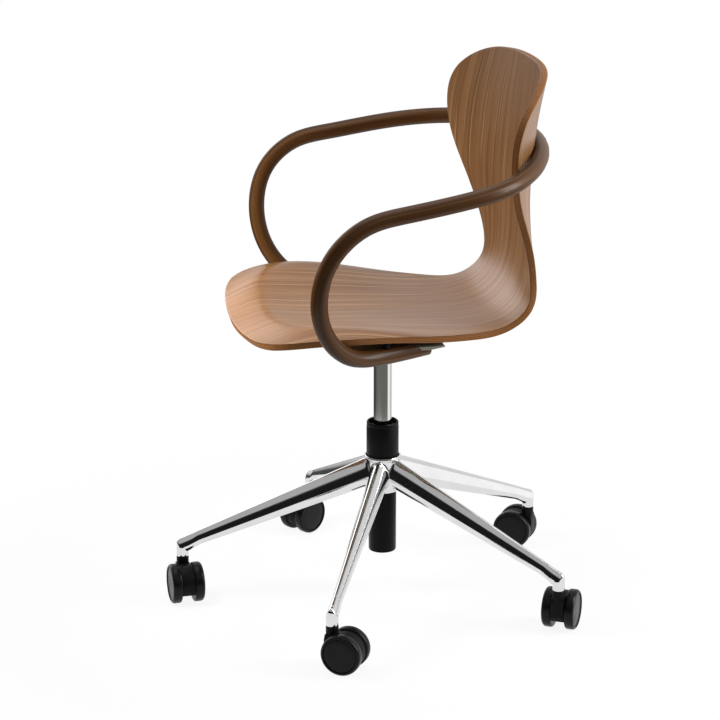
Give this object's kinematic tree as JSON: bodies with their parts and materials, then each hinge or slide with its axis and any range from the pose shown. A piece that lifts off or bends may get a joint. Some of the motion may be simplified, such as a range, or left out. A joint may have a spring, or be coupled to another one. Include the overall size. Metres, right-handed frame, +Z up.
{
  "type": "swivel chair",
  "caption": "Swivel chair with a moulded plywood shell, a bent-wood arm loop, a gas-lift column and a star base on twin-wheel casters.",
  "frame": {"origin": "on the floor, under the middle of the rectangle that the chair takes up in the pictured pose; the column stands at x 0.000891, y 0.020354", "axes": "+Z up along the column, -Y the way the sitter faces, +X to the sitter's left"},
  "size_m": [0.6624, 0.631, 0.8427],
  "materials": {
    "polished_aluminium": "polished",
    "satin_steel": "satin",
    "zinc_steel": "zinc plated",
    "grey_steel": "satin powder coat",
    "black_paint": "semi-gloss",
    "black_plastic": "fine satin",
    "wheel_plastic": "satin, lightly worn",
    "rubber": "matt",
    "walnut_veneer": "clear satin lacquer",
    "bent_wood": "stained, satin lacquer"
  },
  "bodies": {
    "base": {"star_base": "polished_aluminium", "column_tube": "black_paint", "column_collar": "black_plastic", "guide_bush": "black_plastic", "lower_washer": "zinc_steel", "thrust_bearing": "zinc_steel"},
    "rod": {"piston_rod": "satin_steel", "piston": "rubber", "retaining_clip": "zinc_steel", "upper_washer": "zinc_steel"},
    "seat": {"gas_cylinder": "satin_steel", "seat_carrier": "grey_steel", "seat_shell": "walnut_veneer", "arm_loop": "bent_wood", "lever_pivot_pin": "zinc_steel", "seat_bolt_left_front": "zinc_steel", "seat_bolt_left_back": "zinc_steel", "seat_bolt_right_front": "zinc_steel", "seat_bolt_right_back": "zinc_steel", "seat_pad_left_front": "rubber", "seat_pad_left_back": "rubber", "seat_pad_right_front": "rubber", "seat_pad_right_back": "rubber", "arm_bolt_left_front": "zinc_steel", "arm_bolt_left_back": "zinc_steel", "arm_bolt_right_front": "zinc_steel", "arm_bolt_right_back": "zinc_steel", "arm_spacer_left": "rubber", "arm_spacer_right": "rubber", "back_bolt_left": "zinc_steel", "back_bolt_right": "zinc_steel"},
    "lever": {"release_lever": "zinc_steel", "lever_grip": "black_plastic"},
    "button": {"release_button": "zinc_steel"},
    "caster_1": {"caster_1_body": "black_plastic", "caster_1_stem": "zinc_steel", "caster_1_axle": "zinc_steel"},
    "wheel_1a": {"caster_1_wheel_a": "wheel_plastic"},
    "wheel_1b": {"caster_1_wheel_b": "wheel_plastic"},
    "caster_2": {"caster_2_body": "black_plastic", "caster_2_stem": "zinc_steel", "caster_2_axle": "zinc_steel"},
    "wheel_2a": {"caster_2_wheel_a": "wheel_plastic"},
    "wheel_2b": {"caster_2_wheel_b": "wheel_plastic"},
    "caster_3": {"caster_3_body": "black_plastic", "caster_3_stem": "zinc_steel", "caster_3_axle": "zinc_steel"},
    "wheel_3a": {"caster_3_wheel_a": "wheel_plastic"},
    "wheel_3b": {"caster_3_wheel_b": "wheel_plastic"},
    "caster_4": {"caster_4_body": "black_plastic", "caster_4_stem": "zinc_steel", "caster_4_axle": "zinc_steel"},
    "wheel_4a": {"caster_4_wheel_a": "wheel_plastic"},
    "wheel_4b": {"caster_4_wheel_b": "wheel_plastic"},
    "caster_5": {"caster_5_body": "black_plastic", "caster_5_stem": "zinc_steel", "caster_5_axle": "zinc_steel"},
    "wheel_5a": {"caster_5_wheel_a": "wheel_plastic"},
    "wheel_5b": {"caster_5_wheel_b": "wheel_plastic"}
  },
  "joints": [
    {"name": "column_swivel", "type": "hinge", "parent": "base", "child": "rod", "pos_m": [0.00089, 0.02035, 0.075], "axis": [0, 0, 1], "continuous": true},
    {"name": "seat_height", "type": "slide", "parent": "rod", "child": "seat", "axis": [0, 0, 1], "range_m": [-0.06, 0.05]},
    {"name": "lever_lift", "type": "hinge", "parent": "seat", "child": "lever", "pos_m": [-0.03311, 0.02035, 0.4353], "axis": [0, 1, 0], "range_deg": [0, 3.5], "stiffness_Nm_per_rad": 2, "springref_deg": -2.86},
    {"name": "button_press", "type": "slide", "parent": "seat", "child": "button", "axis": [0, 0, -1], "range_m": [0, 0.0025], "stiffness_N_per_m": 300},
    {"name": "caster_1_swivel", "type": "hinge", "parent": "base", "child": "caster_1", "pos_m": [0.21635, 0.2474, 0.068], "axis": [0, 0, 1], "continuous": true},
    {"name": "wheel_1a_roll", "type": "hinge", "parent": "caster_1", "child": "wheel_1a", "pos_m": [0.19816, 0.2579, 0.031], "axis": [0.5, 0.866, 0], "continuous": true},
    {"name": "wheel_1b_roll", "type": "hinge", "parent": "caster_1", "child": "wheel_1b", "pos_m": [0.19816, 0.2579, 0.031], "axis": [0.5, 0.866, 0], "continuous": true},
    {"name": "caster_2_swivel", "type": "hinge", "parent": "base", "child": "caster_2", "pos_m": [-0.14846, 0.29542, 0.068], "axis": [0, 0, 1], "continuous": true},
    {"name": "wheel_2a_roll", "type": "hinge", "parent": "caster_2", "child": "wheel_2a", "pos_m": [-0.15959, 0.27762, 0.031], "axis": [-0.848, 0.5299, 0], "continuous": true},
    {"name": "wheel_2b_roll", "type": "hinge", "parent": "caster_2", "child": "wheel_2b", "pos_m": [-0.15959, 0.27762, 0.031], "axis": [-0.848, 0.5299, 0], "continuous": true},
    {"name": "caster_3_swivel", "type": "hinge", "parent": "base", "child": "caster_3", "pos_m": [-0.30687, -0.03669, 0.068], "axis": [0, 0, 1], "continuous": true},
    {"name": "wheel_3a_roll", "type": "hinge", "parent": "caster_3", "child": "wheel_3a", "pos_m": [-0.29423, -0.05346, 0.031], "axis": [-0.7986, -0.6018, 0], "continuous": true},
    {"name": "wheel_3b_roll", "type": "hinge", "parent": "caster_3", "child": "wheel_3b", "pos_m": [-0.29423, -0.05346, 0.031], "axis": [-0.7986, -0.6018, 0], "continuous": true},
    {"name": "caster_4_swivel", "type": "hinge", "parent": "base", "child": "caster_4", "pos_m": [-0.03996, -0.28997, 0.068], "axis": [0, 0, 1], "continuous": true},
    {"name": "wheel_4a_roll", "type": "hinge", "parent": "caster_4", "child": "wheel_4a", "pos_m": [-0.01902, -0.2885, 0.031], "axis": [0.0698, -0.9976, 0], "continuous": true},
    {"name": "wheel_4b_roll", "type": "hinge", "parent": "caster_4", "child": "wheel_4b", "pos_m": [-0.01902, -0.2885, 0.031], "axis": [0.0698, -0.9976, 0], "continuous": true},
    {"name": "caster_5_swivel", "type": "hinge", "parent": "base", "child": "caster_5", "pos_m": [0.2834, -0.1144, 0.068], "axis": [0, 0, 1], "continuous": true},
    {"name": "wheel_5a_roll", "type": "hinge", "parent": "caster_5", "child": "wheel_5a", "pos_m": [0.29484, -0.09678, 0.031], "axis": [0.8387, -0.5446, 0], "continuous": true},
    {"name": "wheel_5b_roll", "type": "hinge", "parent": "caster_5", "child": "wheel_5b", "pos_m": [0.29484, -0.09678, 0.031], "axis": [0.8387, -0.5446, 0], "continuous": true}
  ],
  "couplings": [
    {"joint": "button_press", "follows": "lever_lift", "m_per_rad": 0.036}
  ]
}
